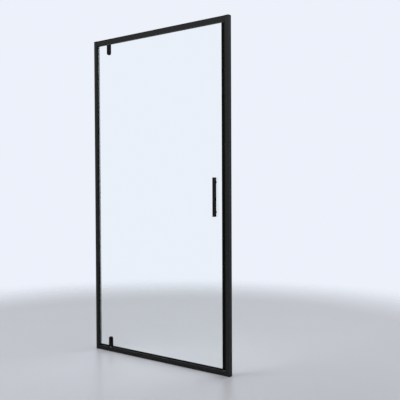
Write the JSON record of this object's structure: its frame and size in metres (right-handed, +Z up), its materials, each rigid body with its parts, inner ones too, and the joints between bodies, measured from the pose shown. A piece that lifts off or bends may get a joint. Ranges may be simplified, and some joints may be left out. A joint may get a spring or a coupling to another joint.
{
  "type": "pivot shower door",
  "caption": "Niche shower door: slim matt black telescopic frame and a clear glass leaf that turns on top and bottom pivot pins.",
  "frame": {"origin": "middle of the sill's underside, halfway through the frame's depth", "axes": "+X to the right as seen from outside, +Y into the shower, +Z up"},
  "size_m": [1, 0.0357, 1.9],
  "materials": {
    "coated_profile": "matt black powder coat on extruded aluminium",
    "coated_bracket": "matt black powder coat on cast and milled aluminium",
    "clear_glass": "clear toughened glass, polished edges",
    "black_plastic": "matt black extruded or moulded plastic",
    "black_rubber": "soft black seal",
    "magnet_strip": "plastic-bonded magnet strip",
    "cast_block": "bare casting",
    "steel_pin": "turned stainless steel",
    "white_bush": "natural acetal",
    "zinc_screw": "zinc-plated steel",
    "black_screw": "black oxide steel"
  },
  "bodies": {
    "frame": {"wall_profile_hinge": "coated_profile", "wall_profile_strike": "coated_profile", "jamb_hinge": "coated_profile", "jamb_strike": "coated_profile", "end_cap_hinge": "black_plastic", "end_cap_strike": "black_plastic", "top_rail": "coated_profile", "sill_rail": "coated_profile", "corner_screws": "zinc_screw", "locking_screws": "black_screw", "pivot_blocks": "cast_block", "block_screws": "zinc_screw", "pivot_pins": "steel_pin", "pivot_washers": "white_bush", "hinge_jamb_seal": "black_rubber", "magnet_holder": "black_plastic", "jamb_magnet": "magnet_strip"},
    "leaf": {"glass_panel": "clear_glass", "bracket_fronts": "coated_bracket", "bracket_backs": "coated_bracket", "bracket_gaskets": "black_rubber", "bracket_screws": "black_screw", "pivot_bushes": "white_bush", "strike_seal": "black_plastic", "door_magnet": "magnet_strip", "drip_seal_long": "black_rubber", "drip_seal_short": "black_rubber", "handle_bar": "coated_profile", "handle_gasket": "black_rubber", "handle_screws": "black_screw", "handle_washers": "black_plastic"}
  },
  "joints": [
    {"name": "door_pivot", "type": "hinge", "parent": "frame", "child": "leaf", "pos_m": [-0.383, 0, 0.95], "axis": [0, 0, -1], "range_deg": [0, 90]}
  ]
}
